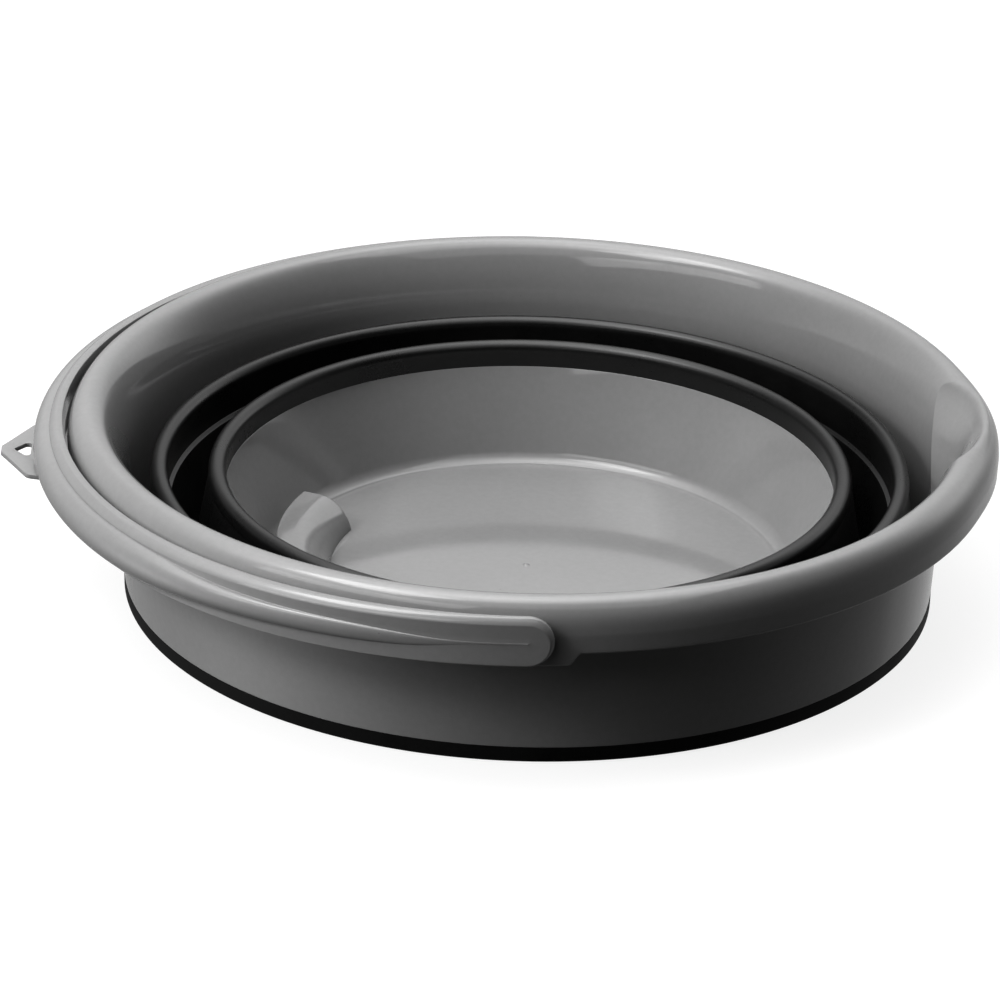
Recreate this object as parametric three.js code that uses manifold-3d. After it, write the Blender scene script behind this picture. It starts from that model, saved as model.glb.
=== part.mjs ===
// Collapsible round bucket, shown folded flat, with its bail handle laid down round the rim.
// Millimetres, +Z up. The origin is on the bucket's axis, at the level it stands on.
// +X is the pouring spout, -X the middle of the handle with its hanging tab, +/-Y the handle pivots.
//
// From outside in, the folded wall runs: rigid ring (rim on top, rubber edge at the bottom),
// rubber cone up to the first ridge, rubber wall down to a valley, rubber cone up to the second
// ridge, and the rigid base cup. Pulled open, both cones turn over and the wall stands tall.
import * as THREE from 'three';
import { mergeVertices } from 'three/addons/utils/BufferGeometryUtils.js';
import Module from 'manifold-3d';

// ---------------------------------------------------------------- driving dimensions
const RIM_R = 160;            // outermost radius of the rim's skirt
const RIM_TOP = 67.5;         // height of the folded bucket
const SKIRT_Z = 49.3;         // lower edge of the skirt
const EAR_Z = 45;             // lower edge of the skirt at the two pivot ears
const EAR_HALF = 15.6;        // half width of an ear, to the middle of its step
const WALL_FOOT_Z = 5.8;      // where the rigid ring's wall ends in its rubber edge
const WALL_FOOT_R = 140.8;    // outer radius of that wall at its foot
const GAP = 0.3;              // space kept between neighbouring pieces

const SPOUT_LIP = 2;          // how far the skirt stands out in front of the spout
const SPOUT_LIP_HALF = 46;    // half width of that bulge
const SPOUT_HALF = 27.5;      // half width of the spout at the rim
// The spout's scoop in the wall, by height: half its width, and its depth in the middle.
const SCOOP_HALF = [[27, 5], [30, 5.4], [35, 10.8], [40, 14.4], [45, 17.2], [50, 19.4], [57, 22.9], [64, 26.5], [67, SPOUT_HALF]];
const SCOOP_DEPTH = [[27, 0], [30, 2], [35, 4.2], [40, 5.4], [45, 6.1], [50, 6.4], [57, 6.3], [62, 6.6], [64, 7.2], [67.5, 8]];

const PIVOT_Z = 55;           // handle axis, along Y through X = 0
const PEG_R = 4;              // pivot peg
const PEG_HOLE_R = 4.25;      // its hole in the ear
const PEG_HEAD_R = 5.1;       // head behind the ear
const PEG_END_Y = 153.8;      // inner end of the head
const PEG_HEAD_T = 1.8;       // thickness of the head

const STRIP_Z0 = 46.2;        // handle strip, lower edge
const STRIP_Z1 = 63.8;        // handle strip, upper edge
const RIB_OUT = 5.6;          // how far the gripping rib stands out of the strip
const RIB_HALF = 6.2;         // half height of that rib
const DROOP = 0.007;          // fall of the folded handle away from its pivots

const TAB_TIP_X = -183.8;     // hanging tab
const TAB_Z0 = 44.8;
const TAB_T = 1.7;
const TAB_HALF_ROOT = 22.5;
const TAB_HALF_TIP = 3.6;

const RIDGE1_TOP = 46.5;      // rubber ridge between the two folds
const RIDGE2_TOP = 45.6;      // rubber ridge on the base cup
const FLOOR_Z = 5.2;          // inside face of the floor
const FOOT_IN = 88;           // foot ring under the base
const FOOT_OUT = 92;
const UNDERSIDE_Z = 2;        // underside of the floor inside the foot ring
const GRIP_HALF_DEG = 25;     // finger grip under the base, seen inside as a bump

// ---------------------------------------------------------------- materials
const grey = () => new THREE.MeshStandardMaterial({ color: 0x848486, roughness: 0.2, metalness: 0 });
const black = () => new THREE.MeshStandardMaterial({ color: 0x1b1b1c, roughness: 0.55, metalness: 0 });

// ---------------------------------------------------------------- solids
const wasm = await Module();
wasm.setup();
const RAD = Math.PI / 180;
const smooth = (a, b, x) => { const t = Math.min(1, Math.max(0, (x - a) / (b - a))); return t * t * (3 - 2 * t); };
const lerp = (a, b, t) => a + (b - a) * t;

// Straight-line table: [[x, y], ...] in rising x.
function table(rows, x) {
  if (x <= rows[0][0]) return rows[0][1];
  for (let i = 1; i < rows.length; i++) {
    if (x <= rows[i][0]) return lerp(rows[i - 1][1], rows[i][1], (x - rows[i - 1][0]) / (rows[i][0] - rows[i - 1][0]));
  }
  return rows[rows.length - 1][1];
}

// A closed geometry as a solid, with its faces turned outwards.
function solid(geometry) {
  let g = geometry.clone();
  g.deleteAttribute('normal');
  if (g.attributes.uv) g.deleteAttribute('uv');
  g = mergeVertices(g, 1e-4);
  const p = g.attributes.position.array, ix = g.index.array;
  const tris = [];
  let volume = 0;
  for (let i = 0; i < ix.length; i += 3) {
    const [a, b, c] = [ix[i], ix[i + 1], ix[i + 2]];
    if (a === b || b === c || c === a) continue;
    tris.push(a, b, c);
    const [A, B, C] = [a, b, c].map((k) => new THREE.Vector3(p[3 * k], p[3 * k + 1], p[3 * k + 2]));
    volume += A.dot(B.cross(C)) / 6;
  }
  if (volume < 0) for (let i = 0; i < tris.length; i += 3) [tris[i + 1], tris[i + 2]] = [tris[i + 2], tris[i + 1]];
  return new wasm.Manifold(new wasm.Mesh({ numProp: 3, vertProperties: new Float32Array(p), triVerts: new Uint32Array(tris) }));
}

function mesh(name, body, material) {
  const m = body.getMesh();
  const g = new THREE.BufferGeometry();
  g.setAttribute('position', new THREE.BufferAttribute(new Float32Array(m.vertProperties), 3));
  g.setIndex(new THREE.BufferAttribute(new Uint32Array(m.triVerts), 1));
  g.computeVertexNormals();
  const out = new THREE.Mesh(g, material);
  out.name = name;
  return out;
}

const even = (n) => Array.from({ length: n }, (_, i) => (i * 360) / n);

// Revolves a section round Z. The section is a closed loop of [r, z], or an open one that starts
// and ends on the axis. angles are the stations in degrees, and shape() may move a point.
function revolve(section, angles, shape) {
  const onAxis = section[0][0] === 0;
  const pts = section.map(([r, z]) => new THREE.Vector2(r, z));
  if (!onAxis) pts.push(pts[0].clone());
  const n = angles.length;
  const g = new THREE.LatheGeometry(pts, n);
  const pos = g.attributes.position;
  for (let i = 0; i <= n; i++) {
    const deg = angles[i % n], a = deg * RAD;
    for (let j = 0; j < pts.length; j++) {
      let r = pts[j].x, z = pts[j].y;
      if (shape) [r, z] = shape(r, z, deg, j % section.length);
      pos.setXYZ(i * pts.length + j, r * Math.cos(a), r * Math.sin(a), z);
    }
  }
  return solid(g);
}

// A flat outline in X and Y, raised from z0 to z1.
function plate(shape, z0, z1) {
  const g = new THREE.ExtrudeGeometry(shape, { depth: z1 - z0, bevelEnabled: false, curveSegments: 8 });
  g.translate(0, 0, z0);
  return solid(g);
}

// A wedge of the plane round -X, plus and minus half degrees, from z0 to z1.
function wedge(half, z0, z1) {
  const s = new THREE.Shape();
  s.moveTo(0, 0);
  for (const d of [-half, 0, half]) {
    const a = (180 + d) * RAD;
    s.lineTo(140 * Math.cos(a), 140 * Math.sin(a));
  }
  s.closePath();
  return plate(s, z0, z1);
}

// A cylinder along Y from y0 to y1, at X = 0 and height z.
function peg(radius, y0, y1, z, sides = 24) {
  const g = new THREE.CylinderGeometry(radius, radius, y1 - y0, sides);
  g.translate(0, (y0 + y1) / 2, z);
  return solid(g);
}

// ---------------------------------------------------------------- rigid ring with rim, spout and ears
const ringSection = [
  [138.5, WALL_FOOT_Z], [139.4, 20.2], [140.0, 30], [140.7, 41], [141.3, 48], [142.6, 54], [144.4, 59], [146.9, 63.7], [149.4, 66.4],
  [152.6, RIM_TOP], [155.6, 66.7], [157.9, 64.4], [159.4, 61], [RIM_R, 56], [159.7, SKIRT_Z],
  [157.4, SKIRT_Z], [157.7, 56], [156.9, 60.4], [154.6, 63.9], [152.0, 64.9], [149.6, 63.4],
  [147.2, 59.4], [144.9, 53.2], [143.4, 46], [142.4, 30], [141.8, 20.2], [WALL_FOOT_R, WALL_FOOT_Z],
];
const SKIRT_LOW = [14, 15];   // the two corners of the skirt's lower edge

// Stations round the ring, closer together at the spout and at the ears' steps, the same on both sides.
const halfAngles = [0, 2.5, 5, 7, 8.5, 10, 11, 13, 15, 18, 24, 30, 36, 42, 48, 54, 60, 66, 72, 78, 83.5, 84.4, 85.3, 90,
  94.7, 95.6, 96.5, 102, 108, 114, 120, 126, 132, 138, 144, 150, 156, 162, 168, 174, 180];
const ringAngles = [...halfAngles.slice(1, -1).reverse().map((a) => -a), ...halfAngles];

function ringShape(r, z, deg, j) {
  const a = deg * RAD;
  const y = 145 * Math.sin(a);
  if (Math.cos(a) > 0) {
    // Low down, two flat sides of the scoop meet in a valley; towards the lip they turn into one round channel.
    const t = Math.min(1, Math.max(0, (r - 146) / (157 - 146)));
    const w = Math.min(1, Math.abs(y) / lerp(table(SCOOP_HALF, z), SPOUT_HALF, t));
    const scoop = table(SCOOP_DEPTH, z) * lerp(1 - w, 1 - w * w, smooth(52, 66, z));
    const lip = SPOUT_LIP * Math.max(0, 1 - (y / SPOUT_LIP_HALF) ** 2) ** 2;
    r += lerp(scoop, lip, t);
  }
  if (SKIRT_LOW.includes(j)) {
    const x = Math.abs(RIM_R * Math.cos(a));
    z -= (SKIRT_Z - EAR_Z) * (1 - smooth(EAR_HALF - 2.2, EAR_HALF + 2.3, x));
  }
  return [r, z];
}

let ring = revolve(ringSection, ringAngles, ringShape);
for (const side of [1, -1]) {
  const [y0, y1] = side > 0 ? [152.5, 168] : [-168, -152.5];
  ring = ring.subtract(peg(PEG_HOLE_R, y0, y1, PIVOT_Z));
}

const edge = revolve([
  [137.5, 1.2], [138.4, 0.2], [139.9, 0.2], [140.7, 1.0], [140.8, WALL_FOOT_Z - GAP], [137.5, WALL_FOOT_Z - GAP],
], even(64));

// ---------------------------------------------------------------- folding rubber wall
const outerFold = revolve([[129.9, 39.3], [131.4, 40.4], [137.1, 1.6], [135.6, 1.6]], even(64));

const midBand = revolve([
  [116.3, 6.2], [117.6, 6.2], [117.9, 5.2], [119.1, 5.2], [119.5, 7.0], [124.5, 30.6], [124.8, 31.3], [126.5, 31.9],
  [125.7, 42.8], [126.5, 45.3], [128.6, RIDGE1_TOP], [130.7, 45.4], [131.6, 42.8], [131.6, 40.9], [129.6, 39.5],
  [121.3, 6.3], [120.3, 3.8], [118.6, 3.0], [116.9, 3.7],
], even(64));

const innerFold = revolve([[110.2, 39.8], [111.7, 40.0], [117.6, 6.5], [116.2, 6.5]], even(64));

const bead = revolve([
  [105.8, 36.9], [105.5, 42.2], [106.2, 44.4], [108.6, RIDGE2_TOP], [110.9, 44.5], [111.8, 42.4], [111.8, 40.4],
  [110.0, 40.1], [108.4, 36.9],
], even(64));

// ---------------------------------------------------------------- base cup with finger grip
let base = revolve([
  [0, FLOOR_Z], [86.55, FLOOR_Z], [88.4, 5.46], [90.15, 6.23], [91.6, 7.45], [92.7, 9.1], [105.7, 36.6],
  [108.35, 36.6], [95.2, 8.8], [94.0, 6.6], [92.4, 4.7], [FOOT_OUT, 0], [FOOT_IN, 0],
  [FOOT_IN - 0.6, UNDERSIDE_Z], [0, UNDERSIDE_Z],
], even(64));
const bump = revolve([
  [69, FLOOR_Z - 1.5], [69, FLOOR_Z], [70.2, 8.6], [72.6, 12.2], [76, 15], [80.5, 16.5], [88, 16.5], [89.6, FLOOR_Z], [89.6, FLOOR_Z - 1.5],
], even(72)).intersect(wedge(GRIP_HALF_DEG, 0, 30));
const pocket = revolve([
  [71.4, -2], [71.6, 5.0], [72.8, 8.4], [75.2, 11.4], [78.4, 13.4], [81.2, 14.2], [85.6, 14.2], [86.8, -2],
], even(72)).intersect(wedge(GRIP_HALF_DEG - 1.7, -5, 30));
base = base.add(bump).subtract(pocket);

// ---------------------------------------------------------------- bail handle
// The strip bows a little away from the rim between its pivots and its middle; by degrees from +X.
const STRIP_IN = [[80, 160.9], [90, 160.9], [100, 161.1], [112, 161.4], [125, 161.6], [140, 161.7], [160, 161.6], [180, 161.5]];
const STRIP_OUT = [[80, 164.2], [90, 164.2], [105, 165.3], [117, 166.3], [131, 166.9], [140, 167.2], [160, 167.0], [180, 166.6]];
// Section of the handle: across is 0 on the inner face and 1 on the outer face of the strip; rib counts its standing out.
const stripSection = [
  [0, STRIP_Z0, 0], [0, STRIP_Z1 - 1.8, 0], [0.25, STRIP_Z1 - 0.3, 0], [0.5, STRIP_Z1, 0], [0.8, STRIP_Z1 - 0.9, 0], [1, STRIP_Z1 - 2.4, 0],
  [1, PIVOT_Z + 1, 0], [1, PIVOT_Z + 1, 0.6], [1, PIVOT_Z, 1], [1, PIVOT_Z - 1, 0.6], [1, PIVOT_Z - 1, 0], [1, STRIP_Z0, 0],
];
const RIB_Z = { 6: 1, 7: 0.72, 8: 0, 9: -0.72, 10: -1 };   // rib points, in half heights from the pivot level
const handleAngles = [];
for (let a = 75; a <= 285; a += 5) handleAngles.push(a);
handleAngles.push(315, 360, 405);

function handleShape(r, z, deg, j) {
  const from = 180 - Math.abs(180 - deg);                  // 90 at the pivots, 180 in the middle
  const across = stripSection[j][0], rib = stripSection[j][2];
  const grow = smooth(100, 140, from);
  const inner = table(STRIP_IN, from), outer = table(STRIP_OUT, from);
  let rr = lerp(inner, outer, across) + rib * (0.25 + (RIB_OUT - 0.25) * grow);
  let zz = z;
  if (j in RIB_Z) zz = PIVOT_Z + RIB_Z[j] * lerp(1.2, RIB_HALF, grow);
  const x = Math.min(0, rr * Math.cos(deg * RAD));
  return [rr, zz + DROOP * x];
}
let handle = revolve(stripSection.map(([u, z, k], j) => [163 + 4 * u + k + 0.001 * j, z]), handleAngles, handleShape);

// Round paddle ends about the pivot axis.
const END_R = (STRIP_Z1 - STRIP_Z0) / 2 + 0.05;
const outline = new THREE.Shape();
outline.moveTo(-195, STRIP_Z0 - 5);
outline.lineTo(-14, STRIP_Z0 - 5);
outline.lineTo(-14, PIVOT_Z - END_R);
outline.lineTo(0, PIVOT_Z - END_R);
outline.absarc(0, PIVOT_Z, END_R, -Math.PI / 2, Math.PI / 2, false);
outline.lineTo(-14, PIVOT_Z + END_R);
outline.lineTo(-14, STRIP_Z1 + 5);
outline.lineTo(-195, STRIP_Z1 + 5);
outline.closePath();
const cutter = new THREE.ExtrudeGeometry(outline, { depth: 400, bevelEnabled: false, curveSegments: 14 });
cutter.rotateX(Math.PI / 2);
cutter.translate(0, 200, 0);
handle = handle.intersect(solid(cutter));
for (const side of [1, -1]) {
  const span = (a, b) => (side > 0 ? [a, b] : [-b, -a]);
  handle = handle.add(peg(PEG_R, ...span(PEG_END_Y + 0.4, 162.6), PIVOT_Z));
  handle = handle.add(peg(PEG_HEAD_R, ...span(PEG_END_Y, PEG_END_Y + PEG_HEAD_T), PIVOT_Z));
}

// Hanging tab: a flat rounded triangle with a rounded triangular hole, set on the strip's lower edge.
const TAB_ROOT_X = -160;
const tabShape = new THREE.Shape();
tabShape.moveTo(TAB_ROOT_X, -TAB_HALF_ROOT);
tabShape.lineTo(TAB_ROOT_X, TAB_HALF_ROOT);
tabShape.lineTo(-168, TAB_HALF_ROOT);
tabShape.lineTo(-173.6, 21.2);
tabShape.lineTo(-181.2, TAB_HALF_TIP + 3.4);
tabShape.quadraticCurveTo(TAB_TIP_X + 0.5, TAB_HALF_TIP + 1, TAB_TIP_X, TAB_HALF_TIP - 1.6);
tabShape.lineTo(TAB_TIP_X, -(TAB_HALF_TIP - 1.6));
tabShape.quadraticCurveTo(TAB_TIP_X + 0.5, -(TAB_HALF_TIP + 1), -181.2, -(TAB_HALF_TIP + 3.4));
tabShape.lineTo(-173.6, -21.2);
tabShape.lineTo(-168, -TAB_HALF_ROOT);
tabShape.closePath();
const hole = new THREE.Path();
hole.moveTo(-173.4, 6.4);
hole.lineTo(-173.4, -6.4);
hole.quadraticCurveTo(-173.8, -7.4, -175, -6.6);
hole.lineTo(-178.4, -1.6);
hole.quadraticCurveTo(-179.2, 0, -178.4, 1.6);
hole.lineTo(-175, 6.6);
hole.quadraticCurveTo(-173.8, 7.4, -173.4, 6.4);
tabShape.holes.push(hole);
const tab = plate(tabShape, TAB_Z0, TAB_Z0 + TAB_T).subtract(
  revolve([[150, 40], [167.0, 40], [167.0, 70], [150, 70]], even(120)));

// ---------------------------------------------------------------- the bucket
const bucket = new THREE.Group();
bucket.name = 'collapsible_bucket';
bucket.add(
  mesh('base_cup', base, grey()),
  mesh('base_bead', bead, black()),
  mesh('inner_fold_wall', innerFold, black()),
  mesh('mid_wall_band', midBand, black()),
  mesh('outer_fold_wall', outerFold, black()),
  mesh('edge_band', edge, black()),
  mesh('rim_ring', ring, grey()),
  mesh('carry_handle', handle, grey()),
  mesh('hang_tab', tab, grey()),
);

export default bucket;
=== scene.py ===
import functools
import math

import bpy
import numpy as np
from mathutils import Matrix, Vector
from mathutils.geometry import tessellate_polygon


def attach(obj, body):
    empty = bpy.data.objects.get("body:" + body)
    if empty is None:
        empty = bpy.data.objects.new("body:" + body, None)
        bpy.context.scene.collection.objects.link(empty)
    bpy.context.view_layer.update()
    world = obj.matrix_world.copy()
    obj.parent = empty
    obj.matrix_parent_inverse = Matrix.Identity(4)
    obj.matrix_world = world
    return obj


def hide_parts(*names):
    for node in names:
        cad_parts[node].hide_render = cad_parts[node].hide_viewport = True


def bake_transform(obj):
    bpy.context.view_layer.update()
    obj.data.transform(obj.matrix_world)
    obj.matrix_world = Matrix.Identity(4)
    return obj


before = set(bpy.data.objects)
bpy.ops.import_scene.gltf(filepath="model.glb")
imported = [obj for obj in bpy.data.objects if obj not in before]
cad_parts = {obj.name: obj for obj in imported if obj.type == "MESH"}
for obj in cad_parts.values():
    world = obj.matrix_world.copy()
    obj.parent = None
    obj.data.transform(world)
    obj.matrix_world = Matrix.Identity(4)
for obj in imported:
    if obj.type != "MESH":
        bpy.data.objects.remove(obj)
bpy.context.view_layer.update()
MM = 0.001


# ------------------------------------------------------------------ small helpers
def smooth(a, b, x):
    t = np.clip((np.asarray(x, float) - a) / (b - a), 0, 1)
    return t * t * (3 - 2 * t)


def table(rows, x):
    xs, ys = zip(*rows)
    return np.interp(x, xs, ys)


def soft_table(rows, x, sigma):
    """A table of straight lines, rounded off over sigma on its own axis."""
    k = np.linspace(-2.5, 2.5, 41)
    w = np.exp(-0.5 * k * k)
    x = np.asarray(x, float)
    return sum(wi * table(rows, x + ki * sigma) for wi, ki in zip(w, k)) / w.sum()


def half_round(u, sigma=0.02):
    """Height of a half ellipse at u, 1 in the middle and 0 from u = 1 on, its foot rounded over sigma."""
    k = np.linspace(-2.5, 2.5, 61)
    w = np.exp(-0.5 * k * k)
    u = np.asarray(u, float)[..., None] + k * sigma
    return (np.sqrt(np.clip(1 - u * u, 0, None)) * w).sum(-1) / w.sum()


def rounded(points, closed=True, chord=0.3):
    """[(x, y, radius), ...] with every corner that has a radius turned into an arc."""
    out, n = [], len(points)
    for i, (x, y, rad) in enumerate(points):
        p = np.array((x, y), float)
        if rad <= 0 or (not closed and i in (0, n - 1)):
            out.append((x, y))
            continue
        a = np.array(points[i - 1][:2], float) - p
        b = np.array(points[(i + 1) % n][:2], float) - p
        la, lb = np.linalg.norm(a), np.linalg.norm(b)
        ua, ub = a / la, b / lb
        ang = math.acos(max(-1.0, min(1.0, float(ua @ ub))))
        if ang > math.radians(178):
            out.append((x, y))
            continue
        t = min(rad / math.tan(ang / 2), 0.49 * la, 0.49 * lb)
        rr = t * math.tan(ang / 2)
        mid = ua + ub
        c = p + mid / np.linalg.norm(mid) * (rr / math.sin(ang / 2))
        p0, p1 = p + ua * t - c, p + ub * t - c
        a0 = math.atan2(p0[1], p0[0])
        sweep = (math.atan2(p1[1], p1[0]) - a0 + math.pi) % (2 * math.pi) - math.pi
        k = max(2, math.ceil(abs(sweep) * rr / chord), math.ceil(abs(sweep) / math.radians(14)))
        for m in range(k + 1):
            th = a0 + sweep * m / k
            out.append((c[0] + rr * math.cos(th), c[1] + rr * math.sin(th)))
    return out


def dense(points, longest):
    """The same line with no stretch longer than that."""
    out = [points[0]]
    for a, b in zip(points, points[1:]):
        d = math.dist(a[:2], b[:2])
        k = max(1, math.ceil(d / longest))
        for m in range(1, k + 1):
            out.append(tuple(x + (y - x) * m / k for x, y in zip(a, b)))
    return out


def spline(points, step):
    """A smooth line through the points, as close together as step."""
    p = np.array(points, float)
    d = np.hypot(*np.diff(p, axis=0).T)
    n = len(p)
    m = np.eye(n)
    rhs = np.zeros((n, 2))
    for i in range(1, n - 1):
        m[i, i - 1:i + 2] = d[i - 1], 2 * (d[i - 1] + d[i]), d[i]
        rhs[i] = 6 * ((p[i + 1] - p[i]) / d[i] - (p[i] - p[i - 1]) / d[i - 1])
    c = np.linalg.solve(m, rhs)
    out = [tuple(p[0])]
    for i in range(n - 1):
        k = max(1, math.ceil(d[i] / step))
        for t in np.linspace(0, 1, k + 1)[1:]:
            a, b = 1 - t, t
            q = a * p[i] + b * p[i + 1] + d[i] ** 2 / 6 * ((a ** 3 - a) * c[i] + (b ** 3 - b) * c[i + 1])
            out.append((float(q[0]), float(q[1])))
    return out


def arc(cx, cy, rx, ry, a0, a1, k):
    """Points of an ellipse from angle a0 to a1 in degrees."""
    return [
        (cx + rx * math.cos(math.radians(a)), cy + ry * math.sin(math.radians(a)))
        for a in np.linspace(a0, a1, k)
    ]


# ------------------------------------------------------------------ meshes
def outward(verts, faces):
    """The same closed shell with its faces turned to point out."""
    verts = np.asarray(verts, float)
    t = np.array([(f[0], f[k], f[k + 1]) for f in faces for k in range(1, len(f) - 1)])
    volume = np.einsum("ij,ij->", verts[t[:, 0]], np.cross(verts[t[:, 1]], verts[t[:, 2]]))
    return (verts, faces) if volume > 0 else (verts, [tuple(reversed(f)) for f in faces])


def make_piece(name, verts, faces, material, sharp=None):
    verts, faces = outward(np.asarray(verts, float) * MM, faces)
    me = bpy.data.meshes.new(name)
    me.from_pydata([tuple(v) for v in verts], [], faces)
    me.polygons.foreach_set("use_smooth", [True] * len(me.polygons))
    if sharp is not None:
        me.set_sharp_from_angle(angle=math.radians(sharp))
    me.materials.append(material)
    me.update()
    ob = bpy.data.objects.new(name, me)
    bpy.context.scene.collection.objects.link(ob)
    return ob


def lathe_arrays(loop, degs, shape=None):
    """Vertices and faces of a section turned round Z: a closed loop, or a line from the axis back to it."""
    on_axis = loop[0][0] == 0
    n, m = len(degs), len(loop)
    R = np.array([p[0] for p in loop], float)
    Z = np.array([p[1] for p in loop], float)
    rows = []
    for d in degs:
        r, z, az = (R, Z, np.full(m, float(d))) if shape is None else shape(R, Z, float(d))
        a = np.radians(az)
        rows.append(np.stack([r * np.cos(a), r * np.sin(a), z], 1))
    verts = np.concatenate(rows)
    index = np.arange(n * m).reshape(n, m)
    if on_axis:
        index[:, 0], index[:, -1] = 0, m - 1
    index = index.tolist()
    faces = []
    for i in range(n):
        k = (i + 1) % n
        for j in range(m - 1 if on_axis else m):
            l = (j + 1) % m
            f = []
            for v in (index[i][j], index[k][j], index[k][l], index[i][l]):
                if v not in f:
                    f.append(v)
            if len(f) > 2:
                faces.append(tuple(f))
    used = sorted({v for f in faces for v in f})
    new = {v: i for i, v in enumerate(used)}
    return verts[used], [tuple(new[v] for v in f) for f in faces]


def lathe(name, loop, degs, material, shape=None, sharp=None):
    verts, faces = lathe_arrays(loop, degs, shape)
    return make_piece(name, verts, faces, material, sharp)


def joined(*parts):
    verts, faces, base = [], [], 0
    for v, f in parts:
        v = np.asarray(v, float)
        verts.append(v)
        faces += [tuple(i + base for i in face) for face in f]
        base += len(v)
    return np.concatenate(verts), faces


# ------------------------------------------------------------------ materials
def new_material(name):
    mat = bpy.data.materials.new(name)
    mat.use_nodes = True
    nt = mat.node_tree
    nt.nodes.clear()
    out = nt.nodes.new("ShaderNodeOutputMaterial")
    bsdf = nt.nodes.new("ShaderNodeBsdfPrincipled")
    nt.links.new(bsdf.outputs["BSDF"], out.inputs["Surface"])
    return mat, nt, bsdf


def node(nt, kind, **values):
    n = nt.nodes.new(kind)
    for key, value in values.items():
        if key in n.inputs:
            n.inputs[key].default_value = value
        else:
            setattr(n, key, value)
    return n


def noise(nt, coords, scale, detail=3.0, rough=0.5):
    n = nt.nodes.new("ShaderNodeTexNoise")
    n.inputs["Scale"].default_value = scale
    n.inputs["Detail"].default_value = detail
    n.inputs["Roughness"].default_value = rough
    nt.links.new(coords, n.inputs["Vector"])
    return n.outputs["Fac"]


def spread(nt, value, lo, hi, a=0.3, b=0.7):
    n = nt.nodes.new("ShaderNodeMapRange")
    n.inputs["From Min"].default_value = a
    n.inputs["From Max"].default_value = b
    n.inputs["To Min"].default_value = lo
    n.inputs["To Max"].default_value = hi
    nt.links.new(value, n.inputs["Value"])
    return n.outputs["Result"]


def math_node(nt, op, a, b=None):
    n = nt.nodes.new("ShaderNodeMath")
    n.operation = op
    for i, v in enumerate((a, b)):
        if v is None:
            continue
        if isinstance(v, (int, float)):
            n.inputs[i].default_value = v
        else:
            nt.links.new(v, n.inputs[i])
    return n.outputs[0]


def grey_plastic():
    """Glossy moulded polypropylene: faint cloudiness in the grey, a fine moulded skin, a few specks of dust."""
    mat, nt, bsdf = new_material("grey_plastic")
    co = nt.nodes.new("ShaderNodeTexCoord").outputs["Object"]
    cloud = noise(nt, co, 14, 4, 0.55)
    grain = noise(nt, co, 420, 2, 0.6)
    tone = math_node(nt, "ADD", spread(nt, cloud, 0.220, 0.236), spread(nt, grain, -0.005, 0.005))
    # Specks: the middles of scattered cells, few of which lie in the surface.
    vor = nt.nodes.new("ShaderNodeTexVoronoi")
    vor.inputs["Scale"].default_value = 62
    nt.links.new(co, vor.inputs["Vector"])
    speck = spread(nt, vor.outputs["Distance"], 0.72, 1.0, 0.010, 0.019)
    tone = math_node(nt, "MULTIPLY", tone, speck)
    comb = nt.nodes.new("ShaderNodeCombineColor")
    for i in range(3):
        nt.links.new(tone, comb.inputs[i])
    nt.links.new(comb.outputs[0], bsdf.inputs["Base Color"])
    rough = math_node(nt, "ADD", spread(nt, noise(nt, co, 60, 3, 0.6), 0.065, 0.095), spread(nt, grain, -0.008, 0.008))
    nt.links.new(rough, bsdf.inputs["Roughness"])
    bump = nt.nodes.new("ShaderNodeBump")
    bump.inputs["Strength"].default_value = 0.02
    bump.inputs["Distance"].default_value = 0.0002
    nt.links.new(math_node(nt, "ADD", grain, noise(nt, co, 95, 2, 0.5)), bump.inputs["Height"])
    nt.links.new(bump.outputs["Normal"], bsdf.inputs["Normal"])
    bsdf.inputs["IOR"].default_value = 1.52
    return mat


def black_rubber(name, lo, hi, shine):
    """Soft black rubber with a fine skin, between two roughnesses."""
    mat, nt, bsdf = new_material(name)
    co = nt.nodes.new("ShaderNodeTexCoord").outputs["Object"]
    cloud = noise(nt, co, 38, 4, 0.6)
    grain = noise(nt, co, 700, 2, 0.6)
    tone = math_node(nt, "ADD", spread(nt, cloud, 0.006, 0.010), spread(nt, grain, -0.001, 0.0015))
    comb = nt.nodes.new("ShaderNodeCombineColor")
    for i in range(3):
        nt.links.new(tone, comb.inputs[i])
    nt.links.new(comb.outputs[0], bsdf.inputs["Base Color"])
    rough = math_node(nt, "ADD", spread(nt, cloud, lo, hi), spread(nt, grain, -0.02, 0.02))
    nt.links.new(rough, bsdf.inputs["Roughness"])
    bump = nt.nodes.new("ShaderNodeBump")
    bump.inputs["Strength"].default_value = 0.12
    bump.inputs["Distance"].default_value = 0.0002
    nt.links.new(grain, bump.inputs["Height"])
    nt.links.new(bump.outputs["Normal"], bsdf.inputs["Normal"])
    bsdf.inputs["IOR"].default_value = 1.5
    bsdf.inputs["Specular IOR Level"].default_value = shine
    return mat


GREY = grey_plastic()
BLACK = black_rubber("black_rubber", 0.27, 0.34, 0.5)
DULL_BLACK = black_rubber("black_rubber_dull", 0.5, 0.6, 0.12)

# ------------------------------------------------------------------ upper ring: wall, rolled rim, skirt, spout, ears
SKIRT_Z, EAR_Z = 49.3, 45.0
SPOUT_HALF, SPOUT_FAR = 30.0, 2.4
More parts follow.
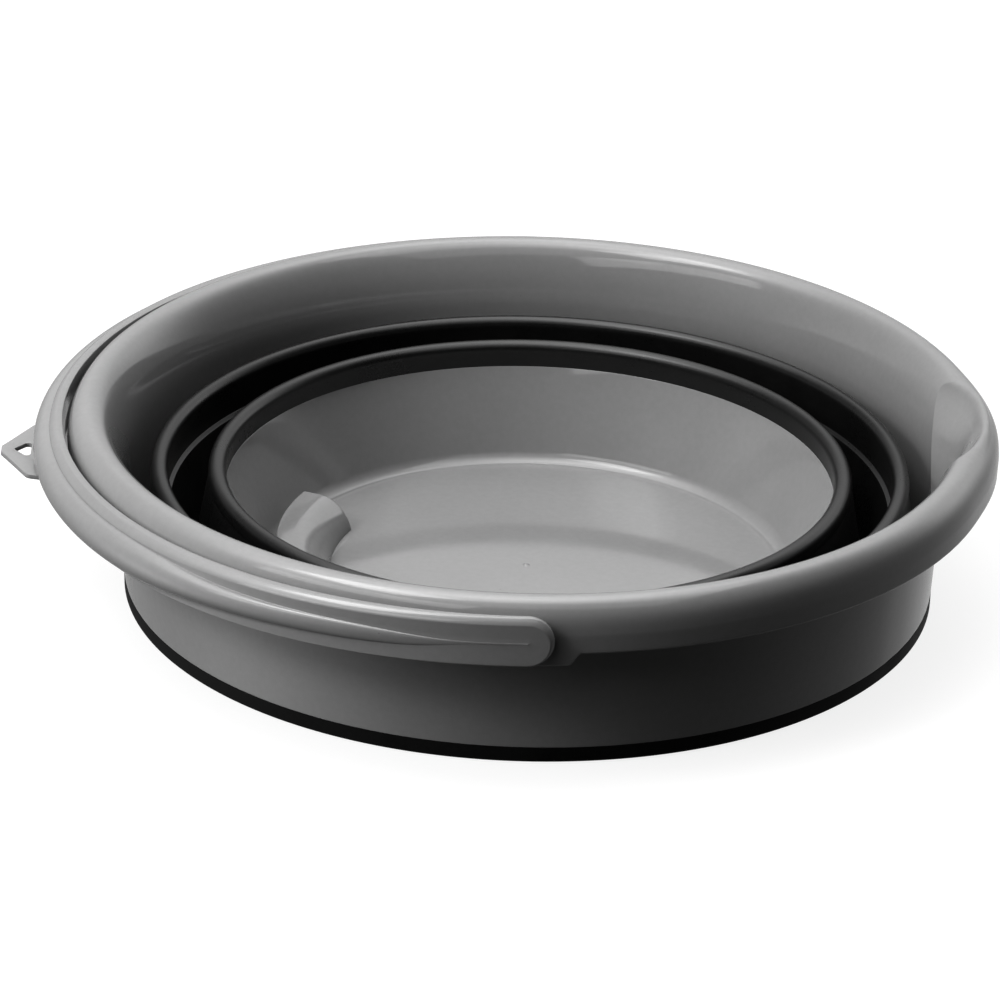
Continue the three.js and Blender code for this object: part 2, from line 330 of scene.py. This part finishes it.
# The spout's scoop in the wall, by height: half its width and its depth in the middle.
SCOOP_HALF = [(0, 5.0), (30, 5.4), (33, 8.5), (35, 10.8), (40, 14.4), (45, 17.6), (50, 21.3), (54, 25.0), (57, 28.0), (60, 31.0), (63, 33.5), (65, 34.0), (66, 33.0), (67, 30.0), (80, 28.0)]
SCOOP_DEPTH = [(0, 0.0), (27.6, 0.0), (30, 2.0), (33, 3.4), (35, 4.2), (40, 5.4), (45, 6.2), (50, 6.7), (57, 6.8), (62, 7.0), (64, 7.5), (67.5, 8.2), (80, 8.2)]


def wall_in(z):
    return 138.5 + 0.0625 * (z - 5.8)


ring_loop = [(wall_in(z), z) for z in [5.8, 10, 14, 17, 19, 21, 22.5, 24, 25.2, 26.2] + list(np.arange(27, 44, 0.8))]
RIM = [(wall_in(z), z) for z in (38, 41, 44)] + [
    (141.2, 47.3), (141.75, 50.6), (142.6, 54.0), (143.7, 57.3), (144.95, 60.2), (146.2, 62.6), (147.3, 64.3), (148.4, 65.6), (149.6, 66.55),
    (150.9, 67.15), (152.3, 67.45), (153.6, 67.4), (154.9, 67.0), (156.2, 66.2), (157.2, 65.25), (158.0, 64.2), (158.8, 62.75), (159.4, 61.0),
    (159.8, 58.7), (160.0, 56.0)]
ring_loop += [q for q in spline(RIM, 0.55) if q[1] > 43.9 or q[0] > 150]
under = rounded(
    [(160, 56, 0), (159.7, SKIRT_Z, 0.7), (157.4, SKIRT_Z, 0.5), (157.7, 56, 6), (156.9, 60.4, 5), (154.6, 63.9, 4), (152, 64.9, 4),
     (149.6, 63.4, 5), (147.2, 59.4, 8), (144.9, 53.2, 15), (143.4, 46, 20), (140.8, 5.8, 0.25), (138.5, 5.8, 0)],
    closed=False,
)
ring_loop += dense(under, 1.3)[1:-1]


def ring_shape(R, Z, deg):
    a = math.radians(deg)
    r, z, az = R.copy(), Z.copy(), np.full(len(R), deg)
    if math.cos(a) > 0.5:
        u = 145 * math.sin(a) / SPOUT_HALF
        t = np.clip((R - 146) / 11, 0, 1)
        half = soft_table(SCOOP_HALF, Z, 0.8) * (1 - t) + SPOUT_HALF * t
        # Columns of the mesh follow the scoop's edge as it narrows downwards.
        if abs(u) <= 1:
            y = u * half
        elif abs(u) < SPOUT_FAR:
            y = np.sign(u) * (half + (abs(u) - 1) / (SPOUT_FAR - 1) * (SPOUT_HALF * SPOUT_FAR - half))
        else:
            y = np.full(len(R), u * SPOUT_HALF)
        az = np.degrees(np.arcsin(y / 145))
        # Two flat sides meet in the valley low down; towards the lip they turn into one round channel.
        depth = soft_table(SCOOP_DEPTH, Z, 0.7)
        e = 0.16
        w = (math.sqrt(min(1.0, u * u) + e * e) - e) / (math.sqrt(1 + e * e) - e)
        flat = depth * (1 - w) - half ** 2 / 280 * w * (1 - w)
        bowl = depth * (1 - w * w)
        s = smooth(52, 66, Z)
        lip = 2.0 * np.clip(1 - (y / 46) ** 2, 0, None) ** 2
        r = r + np.clip(flat * (1 - s) + bowl * s, 0, None) * (1 - t) + lip * t
    r = r + 0.55 * np.clip((R - 153) / 6, 0, 1) * float(smooth(0.15, 0.9, -math.cos(a)))
    x = abs(160 * math.cos(a))
    w = np.where(R > 156.5, np.clip((56 - Z) / (56 - 50.3), 0, 1), 0)
    z = z - (SKIRT_Z - EAR_Z) * (1 - float(smooth(13.4, 17.9, x))) * w
    return r, z, az


spout_u = [0, 0.03, 0.06, 0.1, 0.15, 0.2, 0.27, 0.34, 0.42, 0.5, 0.58, 0.66, 0.74, 0.81, 0.87, 0.91, 0.94] + list(np.arange(0.955, 1.061, 0.012))
spout_u += [1.1, 1.2, 1.35, 1.5, 1.65, 1.8, 2.0, 2.2, 2.4, 2.6]
ring_degs = [side * math.degrees(math.asin(u * SPOUT_HALF / 145)) for u in spout_u for side in (1, -1)]
ring_degs += [d for d in np.arange(-180, 180, 1.25) if abs(d) > 31]
for base in (-95.5, -84.5, 84.5, 95.5):
    ring_degs += [base + k for k in np.arange(-1.4, 1.41, 0.2)]
ring_degs = sorted({round(float(d), 3) for d in ring_degs})
ring = lathe("ring_moulding", ring_loop, ring_degs, GREY, ring_shape, sharp=50)
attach(ring, "ring")
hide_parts("rim_ring")

# ------------------------------------------------------------------ rubber wall
ROUND = list(np.arange(0, 360, 1.5))


def rubber(name, loop, body, node_name, material=BLACK):
    ob = lathe(name, loop, ROUND, material, sharp=60)
    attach(ob, body)
    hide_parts(node_name)
    return ob


edge_loop = rounded([(137.5, 1.2, 0.4), (138.4, 0.2, 0.5), (139.9, 0.2, 0.6), (140.75, 1.0, 0.6), (140.85, 5.8, 0.15), (137.5, 5.8, 0.1)])
rubber("rubber_edge", edge_loop, "ring", "edge_band", DULL_BLACK)

mid_loop = rounded([
    (116.3, 6.2, 0.5), (117.6, 6.2, 0.2), (117.9, 5.2, 0.3), (119.1, 5.2, 0.4), (119.5, 7.0, 0.8), (124.5, 30.6, 0.3),
    (124.75, 31.35, 0.25), (126.4, 31.9, 0.35), (125.75, 42.8, 0)])
mid_loop += arc(128.68, 43.4, 2.95, 3.05, 180, 0, 21)
mid_loop += rounded([(131.63, 43.4, 0), (131.6, 40.7, 0.5), (129.7, 39.2, 0.4), (121.3, 6.3, 1.2), (120.3, 3.8, 1.2), (118.6, 3.0, 1.2), (116.9, 3.7, 1.0), (116.3, 6.2, 0)], closed=False)[1:-1]
rubber("rubber_mid_band", mid_loop, "mid_band", "mid_wall_band")

bead_loop = [(105.75, 36.6), (105.65, 38.5), (105.55, 40.5)] + arc(108.66, 42.4, 3.14, 3.18, 180, 0, 23)
bead_loop += rounded([(111.8, 42.4, 0), (111.8, 40.3, 0.4), (110.0, 39.4, 0.3), (108.3, 36.6, 0.1), (105.75, 36.6, 0)], closed=False)[1:-1]
rubber("rubber_base_bead", bead_loop, "base", "base_bead")


def fold_wall(name, line, node_name):
    """A cone of rubber between two rings, turned round Z as one fixed mesh."""
    verts, faces = lathe_arrays(line, ROUND)
    ob = make_piece(name, verts, faces, BLACK, sharp=60)
    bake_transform(ob)
    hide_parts(node_name)
    return ob


def cone_line(top_in, top_out, foot_in, foot_out, z_top, z_foot, top_stub, foot_stub, k=18):
    """Closed section of a cone wall with short stubs that stay in the rings at both ends, and each point's share."""
    pts, w = [], []
    for s in np.linspace(0, 1, k):
        pts.append((top_out + (foot_out - top_out) * s, z_top + (z_foot - z_top) * s))
        w.append(s)
    for p in foot_stub:
        pts.append(p)
        w.append(1.0)
    for s in np.linspace(1, 0, k):
        pts.append((top_in + (foot_in - top_in) * s, z_top + (z_foot - z_top) * s))
        w.append(s)
    for p in top_stub:
        pts.append(p)
        w.append(0.0)
    return pts, w


line, share = cone_line(130.0, 131.4, 135.7, 137.1, 40.4, 1.9, [(130.3, 41.4), (131.2, 41.4)],
                        [(138.3, 2.2), (138.3, 1.0), (136.6, 0.75), (135.7, 1.0)])
fold_wall("rubber_outer_fold", line, "outer_fold_wall")
line, share = cone_line(110.2, 111.7, 116.3, 117.6, 40.0, 6.5, [(110.5, 41.2), (111.4, 41.2)], [(117.4, 5.4), (116.6, 5.4)])
fold_wall("rubber_inner_fold", line, "inner_fold_wall")

# ------------------------------------------------------------------ base cup
FLOOR_Z, FLOOR_R, FILLET = 5.2, 86.55, 6.8
GRIP, POCKET = 25.0, 23.3


def grip_top(r):
    """Height of the grip bump over the ground at radius r."""
    if r <= 69 or r >= 89.5:
        return -99.0
    if r < 80.5:
        return FLOOR_Z + 11.3 * (1 - ((80.5 - r) / 11.5) ** 1.7) ** (1 / 1.7)
    if r <= 87:
        return 16.5
    if r <= 88:
        return 15.5 + math.sqrt(max(0.0, 1 - (r - 87) ** 2))
    return 15.5 - (r - 88) / 1.5 * 10.3


POCKET_LINE = [(71.35, 2), (71.6, 5), (72.8, 8.4), (75.2, 11.4), (78.4, 13.4), (81.2, 14.2), (85.6, 14.2), (86.3, 5), (86.55, 2)]
floor_rs = [0, 12, 26, 40, 52, 60, 66, 68.4, 68.95, 69.03, 69.1, 69.2, 69.35, 69.6, 69.9, 70.4, 71, 72, 73, 74.2, 75.6, 77, 78.8, 80.5, 82, 84, 86, 87,
            87.25, 87.5, 87.7, 87.85, 87.95, 88.0, 88.15, 88.4, 88.7, 89.0, 89.3, 89.5, 89.7]
under_rs = [87.0, 86.6, 86.54, 86.45, 86.3, 86.0, 85.7, 85.5, 84.5, 83, 81.2, 80, 78.4, 77, 75.2, 74, 72.8, 72.2, 71.6, 71.45, 71.34, 71.25, 69, 60, 45, 30, 15, 0]
base_loop = [(r, FLOOR_Z if r <= FLOOR_R else FLOOR_Z + FILLET - math.sqrt(FILLET ** 2 - (r - FLOOR_R) ** 2)) for r in floor_rs]
n_floor = len(base_loop)
for al in np.linspace(30.5, 64.7, 15):
    base_loop.append((FLOOR_R + FILLET * math.sin(math.radians(al)), FLOOR_Z + FILLET * (1 - math.cos(math.radians(al)))))
base_loop += dense(rounded(
    [base_loop[-1] + (0,), (105.7, 36.6, 0.3), (108.35, 36.6, 0.3), (94.9, 8.2, 9), (92.3, 4.6, 1.5), (92, 0, 0.8), (88, 0, 0.6),
     (87.4, 2, 0.5), (87.1, 2, 0)], closed=False), 4.0)[1:]
n_under = len(base_loop)
base_loop += [(r, 2.0) for r in under_rs]


def base_shape(R, Z, deg):
    off = abs((deg - 180 + 180) % 360 - 180)
    z = Z.copy()
    if off < GRIP:
        for j in range(n_floor):
            d = R[j] * math.radians(GRIP - off)
            drop = 0.9 - math.sqrt(0.81 - (0.9 - d) ** 2) if d < 0.9 else 0.0
            z[j] = max(z[j], grip_top(R[j]) - drop)
    if off < POCKET:
        for j in range(n_under, len(R)):
            if POCKET_LINE[0][0] < R[j] < POCKET_LINE[-1][0]:
                z[j] = max(z[j], float(table(POCKET_LINE, R[j])))
    return R, z, np.full(len(R), deg)


base_degs = [d for d in np.arange(0, 360, 1.25) if abs(abs(d - 180) - GRIP) > 0.8 and abs(abs(d - 180) - POCKET) > 0.3]
for k in (25.02, 24.995, 24.96, 24.9, 24.8, 24.65, 24.5, 24.35, 23.32, 23.29):
    base_degs += [180 - k, 180 + k]
base = lathe("base_moulding", base_loop, sorted(base_degs), GREY, base_shape, sharp=32)
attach(base, "base")
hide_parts("base_cup")

# The little scar of the moulding gate in the middle of the floor.
gate = [(0, 0.0), (0, 0.42), (0.55, 0.40), (0.8, 0.16), (1.15, 0.12), (1.4, 0.02), (1.45, -0.3), (0, -0.3)]
gate_v, gate_f = lathe_arrays([(0, 0.42)] + gate[2:], list(np.arange(0, 360, 12)))
gate_ob = make_piece("gate_mark", gate_v + np.array([-0.6, 3.4, FLOOR_Z]), gate_f, GREY, sharp=40)
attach(gate_ob, "base")

# ------------------------------------------------------------------ bail handle
PIVOT_Z, END_R, DROOP = 55.0, 8.85, 0.007
STRIP_IN = [(80, 160.9), (90, 160.9), (100, 160.85), (112, 161.0), (125, 161.3), (140, 161.7), (160, 162.1), (180, 162.25), (200, 162.1)]
STRIP_OUT = [(80, 164.2), (90, 164.2), (105, 165.3), (117, 166.3), (131, 166.9), (140, 167.2), (160, 167.0), (180, 166.6), (200, 167.0)]
RIB_UP = [(90, 0.3), (97, 0.32), (100.4, 0.5), (102, 0.95), (105.7, 1.75), (109.3, 2.4), (113, 2.85), (117, 3.05), (122, 3.4), (128, 4.0), (132, 4.7), (137, 5.6), (143, 6.1), (180, 6.2), (200, 6.2)]
RIB_LO = [(90, 0.3), (97, 0.45), (100, 1.5), (102, 2.3), (105, 2.75), (109, 3.1), (113, 3.3), (117, 3.45), (122, 3.8), (128, 4.3), (132, 4.9), (138, 5.8), (143, 6.2), (180, 6.4), (200, 6.4)]
RIB_OUT = [(90, 0.07), (97, 0.08), (100.4, 0.22), (105, 0.7), (109, 1.15), (113, 1.6), (117, 2.1), (122, 2.9), (128, 3.9), (134, 4.8), (140, 5.35), (150, 5.6), (200, 5.6)]
BEVEL_UP, BEVEL_LO = 2.2, 1.0


@functools.lru_cache(None)
def strip_at(from_deg):
    """Radius of the strip's inner face, its thickness, and the rib's rise and two half widths, by angle from the spout."""
    inner = float(soft_table(STRIP_IN, from_deg, 3.0))
    return (inner, float(soft_table(STRIP_OUT, from_deg, 3.0)) - inner, float(soft_table(RIB_OUT, from_deg, 1.5)),
            float(soft_table(RIB_UP, from_deg, 1.5)), float(soft_table(RIB_LO, from_deg, 1.5)))


def handle_point(X_or_az, v, off, at_end):
    """Place in space: along the strip by azimuth (or by X past the pivot), height v from the pivot level, depth off from the inner face."""
    if at_end:
        az = 90.0 - math.degrees(X_or_az / 162.0)
        r = 160.9 + off
    else:
        az = X_or_az
        r = strip_at(180 - abs(180 - az))[0] + off
    a = math.radians(az)
    x, y = r * math.cos(a), r * math.sin(a)
    return (x, y, PIVOT_Z + v + DROOP * min(0.0, x))


@functools.lru_cache(None)
def handle_section(from_deg, bevel, rib):
    """Half of the strip's section, from the middle of its outer face over its edge to the middle of its inner face: [(v, off), ...]."""
    thick, rise = strip_at(from_deg)[1:3]
    out = []
    for u in (0, 0.12, 0.25, 0.38, 0.5, 0.62, 0.72, 0.8, 0.87, 0.92, 0.955, 0.98, 1.0, 1.02, 1.045):
        out.append((u * rib, thick + rise * float(half_round(u))))
    flat = END_R - bevel
    for f in (0.34, 0.67, 0.95, 1.0):
        out.append((1.045 * rib + (flat - 1.045 * rib) * f, thick))
    for ph in np.linspace(0, 90, 13)[1:]:
        s, c = math.sin(math.radians(ph)) ** 1.55, max(0.0, math.cos(math.radians(ph))) ** 1.55
        out.append((flat + bevel * s, thick * (0.5 + 0.5 * c)))
    small = 0.22 * bevel
    for ph in np.linspace(90, 0, 9)[1:]:
        s, c = math.sin(math.radians(ph)) ** 0.4, math.cos(math.radians(ph)) ** 0.4
        out.append((END_R - small + small * s, thick * 0.5 * (1 - c)))
    for v in (5.0, 2.5, 0.0):
        out.append((v, 0.0))
    return out


def handle_arrays():
    azs = [a for a in np.arange(90, 98, 1.0)] + [a for a in np.arange(98, 150, 0.75)] + [a for a in np.arange(150, 180, 1.25)] + [180.0]
    azs = azs + [360 - a for a in reversed(azs[:-1])]
    verts, loops = [], []
    q = len(handle_section(90, BEVEL_UP, 0.3))
    for az in azs:
        f = 180 - abs(180 - az)
        up = handle_section(f, BEVEL_UP, strip_at(f)[3])
        lo = handle_section(f, BEVEL_LO, strip_at(f)[4])
        ids = []
        for k in range(q):
            ids.append(len(verts))
            verts.append(handle_point(az, up[k][0], up[k][1], False))
        for k in range(q - 2, 0, -1):
            ids.append(len(verts))
            lean = max(0.0, strip_at(f)[0] - 160.9) * min(1.0, lo[k][0] / 5.0) * max(0.0, 1 - 2 * lo[k][1] / strip_at(f)[1])
            verts.append(handle_point(az, -lo[k][0], lo[k][1] - lean, False))
        loops.append(ids)
    n = len(loops[0])
    faces = []
    for a, b in zip(loops, loops[1:]):
        for j in range(n):
            l = (j + 1) % n
            faces.append((a[j], b[j], b[l], a[l]))
    # Round ends: the section's lines run on round the pivot in half circles.
    turns = 18
    for side, ids in ((1, loops[0]), (-1, loops[-1])):
        previous = None
        rows = []
        for k in range(q):
            if k in (0, q - 1):
                rows.append([ids[k]] * (turns + 1))
                continue
            row = [ids[k]]
            for m in range(1, turns):
                th = math.pi / 2 - math.pi * m / turns
                blend = 0.5 + 0.5 * math.sin(th)
                bevel = BEVEL_LO + (BEVEL_UP - BEVEL_LO) * blend
                v, off = handle_section(90, bevel, 0.3)[k]
                x, y, z = handle_point(v * math.cos(th), v * math.sin(th), off, True)
                row.append(len(verts))
                verts.append((x, side * y, z))
            row.append(ids[n - k])
            rows.append(row)
        for a, b in zip(rows, rows[1:]):
            for m in range(turns):
                f = []
                for vtx in (a[m], a[m + 1], b[m + 1], b[m]):
                    if vtx not in f:
                        f.append(vtx)
                if len(f) > 2:
                    faces.append(tuple(reversed(f)) if side > 0 else tuple(f))
    return np.array(verts), faces


def peg_arrays(side):
    """Pivot peg with its head, along Y."""
    loop = [(0, 153.8)] + rounded([(0, 153.8, 0), (5.1, 153.8, 0.5), (5.1, 155.6, 0.4), (4.0, 155.6, 0.2), (4.0, 161.6, 0), (0, 161.6, 0)], closed=False)[1:-1] + [(0, 161.6)]
    v, f = lathe_arrays(loop, list(np.arange(0, 360, 7.5)))
    v = np.stack([v[:, 0], side * v[:, 2], PIVOT_Z + v[:, 1]], 1)
    return v, f


strip = handle_arrays()
shells = [strip] + [outward(*peg_arrays(s)) for s in (1, -1)]
shells[0] = outward(*shells[0])
hv, hf = joined(*shells)
handle = make_piece("handle_moulding", hv, hf, GREY, sharp=45)
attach(handle, "handle")
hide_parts("carry_handle")

# Hanging tab: a flat plate with soft edges, running into the strip's lower edge.
TAB_Z0, TAB_Z1 = 44.8, 46.5


def tab_arrays():
    outer = rounded([(-163.5, -23.0, 0), (-168, -22.6, 1.5), (-173.6, -21.2, 3.2), (-181.2, -7.0, 3), (-183.8, -2.4, 1.6), (-183.8, 2.4, 1.6), (-181.2, 7.0, 3), (-173.6, 21.2, 3.2),
                     (-168, 22.6, 1.5), (-163.5, 23.0, 0)], chord=0.4)
    hole = rounded([(-173.4, 7.4, 1.3), (-173.4, -7.4, 1.3), (-179.4, 0.0, 1.3)], chord=0.3)

    def inset(loop, d):
        p = np.array(loop)
        a, b = np.roll(p, 1, 0), np.roll(p, -1, 0)
        t = b - a
        nrm = np.stack([t[:, 1], -t[:, 0]], 1)
        nrm /= np.linalg.norm(nrm, axis=1)[:, None]
        area = 0.5 * np.sum(p[:, 0] * b[:, 1] - b[:, 0] * p[:, 1])
        return p - nrm * d * np.sign(area)

    verts, faces = [], []
    e = 0.35
    levels = [(TAB_Z0, e), (TAB_Z0 + 0.1, 0.1), (TAB_Z0 + e, 0), (TAB_Z1 - e, 0), (TAB_Z1 - 0.1, 0.1), (TAB_Z1, e)]
    caps = {0: [], len(levels) - 1: []}
    for loop, sign in ((outer, 1), (hole, -1)):
        rings = []
        for i, (z, d) in enumerate(levels):
            p = inset(loop, sign * d)
            ids = list(range(len(verts), len(verts) + len(p)))
            verts += [(x, y, z) for x, y in p]
            rings.append(ids)
            if i in caps:
                caps[i].append(ids)
        for a, b in zip(rings, rings[1:]):
            for j in range(len(a)):
                l = (j + 1) % len(a)
                f = (a[j], a[l], b[l], b[j])
                faces.append(f if sign > 0 else tuple(reversed(f)))
    for i, loops in caps.items():
        flat = [v for ids in loops for v in ids]
        tris = tessellate_polygon([[Vector(verts[v]) for v in ids] for ids in loops])
        for t in tris:
            a, b, c = (flat[k] for k in t)
            p, q, r = (np.array(verts[v][:2]) for v in (a, b, c))
            ccw = (q - p)[0] * (r - p)[1] - (q - p)[1] * (r - p)[0] > 0
            faces.append((a, b, c) if ccw == (i != 0) else (c, b, a))
    outer_area = sum(outer[k][0] * outer[(k + 1) % len(outer)][1] - outer[(k + 1) % len(outer)][0] * outer[k][1] for k in range(len(outer)))
    hole_area = sum(hole[k][0] * hole[(k + 1) % len(hole)][1] - hole[(k + 1) % len(hole)][0] * hole[k][1] for k in range(len(hole)))
    n_o = (len(levels) - 1) * len(outer)
    n_h = (len(levels) - 1) * len(hole)
    if outer_area < 0:
        faces[:n_o] = [tuple(reversed(f)) for f in faces[:n_o]]
    if hole_area < 0:
        faces[n_o:n_o + n_h] = [tuple(reversed(f)) for f in faces[n_o:n_o + n_h]]
    return np.array(verts), faces


tv, tf = tab_arrays()
tab = make_piece("hang_tab_moulding", tv, tf, GREY, sharp=35)
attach(tab, "handle")
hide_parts("hang_tab")

# ------------------------------------------------------------------ floor, light, camera
scene = bpy.context.scene
scene.view_settings.view_transform = "Standard"
scene.view_settings.gamma = 0.8

# Pale floor: it takes the object's shadow, and is kept out of the object's own light and reflections.
floor_mat, nt, bsdf = new_material("pale_floor")
co = nt.nodes.new("ShaderNodeTexCoord").outputs["Object"]
tone = spread(nt, noise(nt, co, 3, 2, 0.5), 0.16, 0.165)
comb = nt.nodes.new("ShaderNodeCombineColor")
for i in range(3):
    nt.links.new(tone, comb.inputs[i])
nt.links.new(comb.outputs[0], bsdf.inputs["Base Color"])
bsdf.inputs["Roughness"].default_value = 0.9
bsdf.inputs["Specular IOR Level"].default_value = 0.0
bsdf.inputs["Emission Color"].default_value = (1, 1, 1, 1)
bsdf.inputs["Emission Strength"].default_value = 0.86
me = bpy.data.meshes.new("studio_floor")
s = 12.0
me.from_pydata([(-s, -s, -0.0002), (s, -s, -0.0002), (s, s, -0.0002), (-s, s, -0.0002)], [], [(0, 1, 2, 3)])
me.materials.append(floor_mat)
floor = bpy.data.objects.new("studio_floor", me)
floor.visible_diffuse = floor.visible_glossy = floor.visible_shadow = False
scene.collection.objects.link(floor)

# Soft light of the room from a few wide directions: azimuth, elevation, tightness, strength.
ROOM = [
    (0, 90, 30, 0.97), (180, 66, 16, 4.96), (90, 66, 16, 4.23), (45, 66, 16, 0.48), (45, 40, 14, 1.22), (90, 40, 14, 0.82),
    (36, 15, 20, 1.75), (72, 15, 20, 0.64), (108, 15, 20, 0.635), (144, 15, 20, 0.363), (180, -10, 20, 1.28),
    (-150, -25, 12, 0.347), (180, -25, 6, 0.62), (60, -25, 6, 0.67), (0, -25, 6, 0.256), (120, -25, 6, 0.32),
]
world = bpy.data.worlds.new("studio")
scene.world = world
world.use_nodes = True
nt = world.node_tree
way = nt.nodes.new("ShaderNodeTexCoord").outputs["Generated"]
total = None
for az, el, tight, strength in ROOM:
    az, el = math.radians(az), math.radians(el)
    dot = nt.nodes.new("ShaderNodeVectorMath")
    dot.operation = "DOT_PRODUCT"
    nt.links.new(way, dot.inputs[0])
    dot.inputs[1].default_value = (math.cos(az) * math.cos(el), math.sin(az) * math.cos(el), math.sin(el))
    lobe = math_node(nt, "EXPONENT", math_node(nt, "MULTIPLY", math_node(nt, "SUBTRACT", dot.outputs["Value"], 1.0), tight))
    lobe = math_node(nt, "MULTIPLY", lobe, strength)
    total = lobe if total is None else math_node(nt, "ADD", total, lobe)
background = nt.nodes["Background"]
background.inputs["Color"].default_value = (1, 1, 1, 1)
nt.links.new(total, background.inputs["Strength"])


def softbox(name, az, el, distance, size, energy):
    """A rectangular lamp that looks at the bucket from a direction."""
    az, el = math.radians(az), math.radians(el)
    way = Vector((math.cos(az) * math.cos(el), math.sin(az) * math.cos(el), math.sin(el)))
    data = bpy.data.lights.new(name, "AREA")
    data.shape = "RECTANGLE"
    data.size, data.size_y = size
    data.energy = energy
    ob = bpy.data.objects.new(name, data)
    ob.location = Vector((0, 0, 0.05)) + distance * way
    ob.rotation_mode = "QUATERNION"
    ob.rotation_quaternion = (-way).to_track_quat("-Z", "Y")
    scene.collection.objects.link(ob)
    return ob


softbox("light_key", -134, 41, 1.6, (1.35, 0.40), 4.0)
softbox("light_top", -157, 66, 1.6, (0.8, 0.45), 3.86)
# Two lamps from the left that light the walls without a highlight of their own.
for name, el, energy in (("light_side", 35, 11.97), ("light_low", 18, 5.75)):
    softbox(name, -150, el, 1.6, (0.6, 0.4), energy).visible_glossy = False
# A wide soft ceiling that is only mirrored in the gloss, brightest straight above.
for name, el, size, energy in (("light_ceiling", 73, (1.8, 1.7), 9.6), ("light_zenith", 85, (1.8, 0.86), 6.2)):
    softbox(name, -90, el, 1.6, size, energy).visible_diffuse = False

ELEV, ROLL, DIST = 0.42846167, 0.02522429, 2.5
target = Vector((-0.0102873, 0, 0.0315155))
ce, se = math.cos(ELEV), math.sin(ELEV)
ahead = Vector((0, ce, -se))
rise = Vector((0, se, ce))
right = Vector((1, 0, 0)) * math.cos(ROLL) + rise * math.sin(ROLL)
up = -Vector((1, 0, 0)) * math.sin(ROLL) + rise * math.cos(ROLL)
cam_data = bpy.data.cameras.new("camera")
cam_data.sensor_width = 36
cam_data.lens = 7184.17 * 36 / 1000
cam_data.clip_start, cam_data.clip_end = 0.05, 60
cam = bpy.data.objects.new("camera", cam_data)
m = Matrix((right, up, -ahead)).transposed().to_4x4()
m.translation = target - ahead * DIST
cam.matrix_world = m
scene.collection.objects.link(cam)
scene.camera = cam
